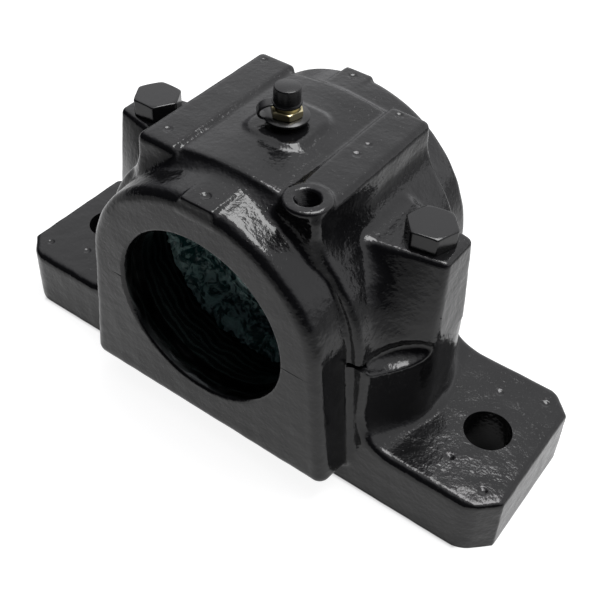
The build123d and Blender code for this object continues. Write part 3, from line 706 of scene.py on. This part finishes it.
brass, nodes, links, shader = shade("nipple_brass", (0.55, 0.49, 0.30), 0.30, 1.0)
bumps(nodes, links, shader, (grain(nodes, links, 900, 2.0), 0.00002))
ground, nodes, links, shader = shade("steel", (0.5, 0.5, 0.52), 0.22, 1.0)
bumps(nodes, links, shader, (grain(nodes, links, 1500, 2.0), 0.000004))
nut = skin("nipple_hexagon", nipple_hex_field, (-8 * MM, -8 * MM, hex_low - MM), (8 * MM, 8 * MM, hex_high + MM),
           0.22 * MM)
shoulder_r, waist_r = 4.6 * MM, 2.9 * MM
profile = [(121 * MM, 3.6 * MM), (132 * MM, 4.3 * MM)]
profile += [(132.2 * MM + step * 0.45 * MM, (4.0 + 0.4 * (step % 2)) * MM) for step in range(8)]
profile += [(hex_high - MM, shoulder_r), (hex_high + 0.9 * MM, shoulder_r), (hex_high + 1.1 * MM, waist_r)]
profile += [(141.2 * MM, waist_r), (141.3 * MM, 3.2 * MM), (141.6 * MM, 3.2 * MM), (142.2 * MM, 2.2 * MM)]
stem = add_piece("nipple_stem", lathe(profile, 48, "Z", (0, 0, 0)))
duct_r, valve_r, valve_low, valve_high, nut_bore_r = 1.0 * MM, 1.75 * MM, 131.9 * MM, 141.8 * MM, 3.6 * MM
cut(stem, hole(0, 0, 0, wide, duct_r, 24))
cut(stem, hole(0, 0, valve_low, valve_high, valve_r, 32))
cut(nut, hole(0, 0, 0, wide, nut_bore_r, 48))
for piece in (nut, stem):
    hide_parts("nipple_body")
    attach(piece, "cap")
    finish_mesh(piece, brass, 30)


# dust_cap and dust_cap_strap: soft black plastic, moulded in one. A flat ring is held under the
# nipple's hexagon, and its strap curls up to the collar of the cap that closes the nipple.
plastic, nodes, links, shader = shade("black_plastic", (0.004, 0.004, 0.0045), 0.26)
bumps(nodes, links, shader, (grain(nodes, links, 1200, 2.0), 0.00002))
cap_low, cap_high, ring_low, ring_r = 140.3 * MM, 147.8 * MM, 134.7 * MM, 8.9 * MM
collar_r, collar_edge_r = 5.8 * MM, 5.5 * MM
profile = [(cap_low, collar_edge_r), (cap_low + 0.3 * MM, collar_r), (cap_low + 1.1 * MM, collar_r)]
profile += [(cap_low + 1.4 * MM, 5.6 * MM), (cap_low + 1.45 * MM, 5.3 * MM), (cap_high - 0.6 * MM, 5.15 * MM)]
profile += [(cap_high - 0.35 * MM, 5.08 * MM), (cap_high - 0.12 * MM, 4.95 * MM), (cap_high, 4.7 * MM)]
cover = add_piece("dust_cover", lathe(profile, 72, "Z", (0, 0, 0)))
cut(cover, hole(0, 0, 0, 143 * MM, 3.3 * MM, 48))
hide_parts("dust_cap")
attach(cover, "dust_cap")
profile = [(133.2 * MM, 5.6 * MM), (ring_low - 0.05 * MM, 5.8 * MM), (ring_low, ring_r - 0.2 * MM)]
profile += [(ring_low + 0.25 * MM, ring_r), (ring_low + 0.8 * MM, ring_r), (ring_low + 1.0 * MM, ring_r - 0.25 * MM)]
tether = add_piece("tether_ring", lathe(profile, 72, "Z", (0, 0, 0)))
cut(tether, hole(0, 0, 0, wide, 4.5 * MM, 72))
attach(tether, "cap")


def strap_surface():
    """A strap of rounded flat section swept along an upright arc, from the ring (a = -90 degrees) over
    the outside to the cap's collar (a = +90): x = root - draw (1 + sin a) / 2 + (reach + out) cos a and
    z = middle + (rise + out) sin a, with out the section's own height over the strap's middle line."""
    rings, around = 25, 20
    along = np.linspace(-0.5 * math.pi, 0.5 * math.pi, rings)[:, None]
    round_it = np.linspace(0, 2 * math.pi, around, endpoint=False)[None]
    half_thick, half_wide = 0.5 * MM, 2.6 * MM
    root, draw, reach, middle, rise = 7.6 * MM, 2.2 * MM, 4.2 * MM, 138.1 * MM, 2.9 * MM
    across = half_wide * np.sign(np.cos(round_it)) * np.abs(np.cos(round_it)) ** 0.5
    out = half_thick * np.sign(np.sin(round_it)) * np.abs(np.sin(round_it)) ** 0.5
    inward = draw * (np.sin(along) * 0.5 + 0.5)
    x = root - inward + (reach + out) * np.cos(along)
    z = middle + (rise + out) * np.sin(along)
    points = np.stack([x + 0 * round_it, across + 0 * along, z + 0 * round_it], -1).reshape(-1, 3)
    return points, [face[::-1] for face in tube_faces(rings, around)]


points, faces = strap_surface()
mesh = bpy.data.meshes.new("strap")
mesh.from_pydata(points.tolist(), [], faces)
mesh.transform(Matrix.Rotation(math.radians(222), 4, "Z"))
strap = add_piece("strap", mesh)
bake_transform(strap)
for piece in (tether, strap):
    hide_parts("dust_cap_strap")
for piece in (tether, strap, cover):
    finish_mesh(piece, plastic, 40)


# locating rings and bearing: steel, fitted between base and cap under a lumpy green film of grease. Its colour
# runs in blotches from deep green to pale green, and the pale blotches are painted highlights on the wet film.
film, nodes, links, shader = shade("green_film", (0.03, 0.08, 0.075), 0.12)
lumps = grain(nodes, links, 170, 4.0, 1.6)
fine = grain(nodes, links, 600, 3.0)
deep_green, pale_green_highlight = (0.008, 0.060, 0.058), (0.34, 0.52, 0.50)
# The film's colour follows its lumps, from deep green to pale green, and the pale green is a painted highlight.
links.new(two_tones(nodes, links, lumps, 0.44, 0.56, deep_green, pale_green_highlight), shader.inputs["Base Color"])
bumps(nodes, links, shader, (lumps, 0.0016), (fine, 0.0003))


# grease_collar: the packing of grease against the bearing's front, between its seat and its bore. It
# is smeared on by hand and stays with the base.
def grease_surface():
    """A closed ring about the shaft: its back steps round the locating ring, and its front bulges by
    lumps that are a sum of 40 waves in random directions over the front."""
    rows, front_cols = 360, 56
    turn = np.linspace(0, 2 * math.pi, rows, endpoint=False)[:, None]
    reach = np.linspace(0, 1, front_cols)[None]
    radius = (28.4 + 21.3 * reach) * MM
    step = 1 / (1 + np.exp(-(radius - 41.0 * MM) / (0.8 * MM)))
    front = -12.3 * MM - 8.6 * MM * step
    rng = np.random.default_rng(11)
    lump = np.zeros((rows, front_cols))
    for _ in range(40):
        heading = rng.normal(size=2) * 900
        phase = radius * np.cos(turn) * heading[0] + radius * np.sin(turn) * heading[1]
        lump += np.sin(phase + rng.uniform(0, 6.3))
    edge = np.minimum(1, np.minimum(reach, 1 - reach) * 12)
    front = front - edge * np.clip(lump * 0.11 * MM, -0.7 * MM, 1.6 * MM)
    front = np.where(edge < 1, front + (1 - edge) * 0.7 * MM, front)
    back_r = np.array([49.7, 42.0, 41.9, 28.4])[None] * MM
    back_y = np.array([-20.03, -20.03, -11.1, -11.1])[None] * MM
    r = np.concatenate([radius + 0 * turn, back_r + 0 * turn], 1)
    y = np.concatenate([front, back_y + 0 * turn], 1)
    points = np.stack([r * np.cos(turn), y, shaft_z + r * np.sin(turn)], -1).reshape(-1, 3)
    cols = r.shape[1]
    i = np.arange(rows)[:, None]
    j = np.arange(cols)[None]
    here, beside = i * cols + j, i * cols + (j + 1) % cols
    below, corner = (i + 1) % rows * cols + j, (i + 1) % rows * cols + (j + 1) % cols
    return points, np.stack([here, beside, corner, below], -1).reshape(-1, 4).tolist()


points, faces = grease_surface()
mesh = bpy.data.meshes.new("grease_collar")
mesh.from_pydata(points.tolist(), [], faces)
mesh.polygons.foreach_set("use_smooth", np.ones(len(mesh.polygons), bool))
mesh.materials.append(film)
grease = add_piece("grease_collar", mesh)
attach(grease, "base")


# The pieces shown as they are: the dowels, pressed into the base, and the nipple's ball and spring are
# bare ground steel, and the rings and bearing have the film.
for name, node in frame["nodes"].items():
    finish = film
    for start, other in (("dowel", ground), ("nipple_body", brass), ("nipple", ground), ("dust_cap", plastic)):
        if name.startswith(start):
            finish = other
            break
    node.data.materials.clear()
    node.data.materials.append(finish)
    node.data.polygons.foreach_set("material_index", np.zeros(len(node.data.polygons), np.int32))
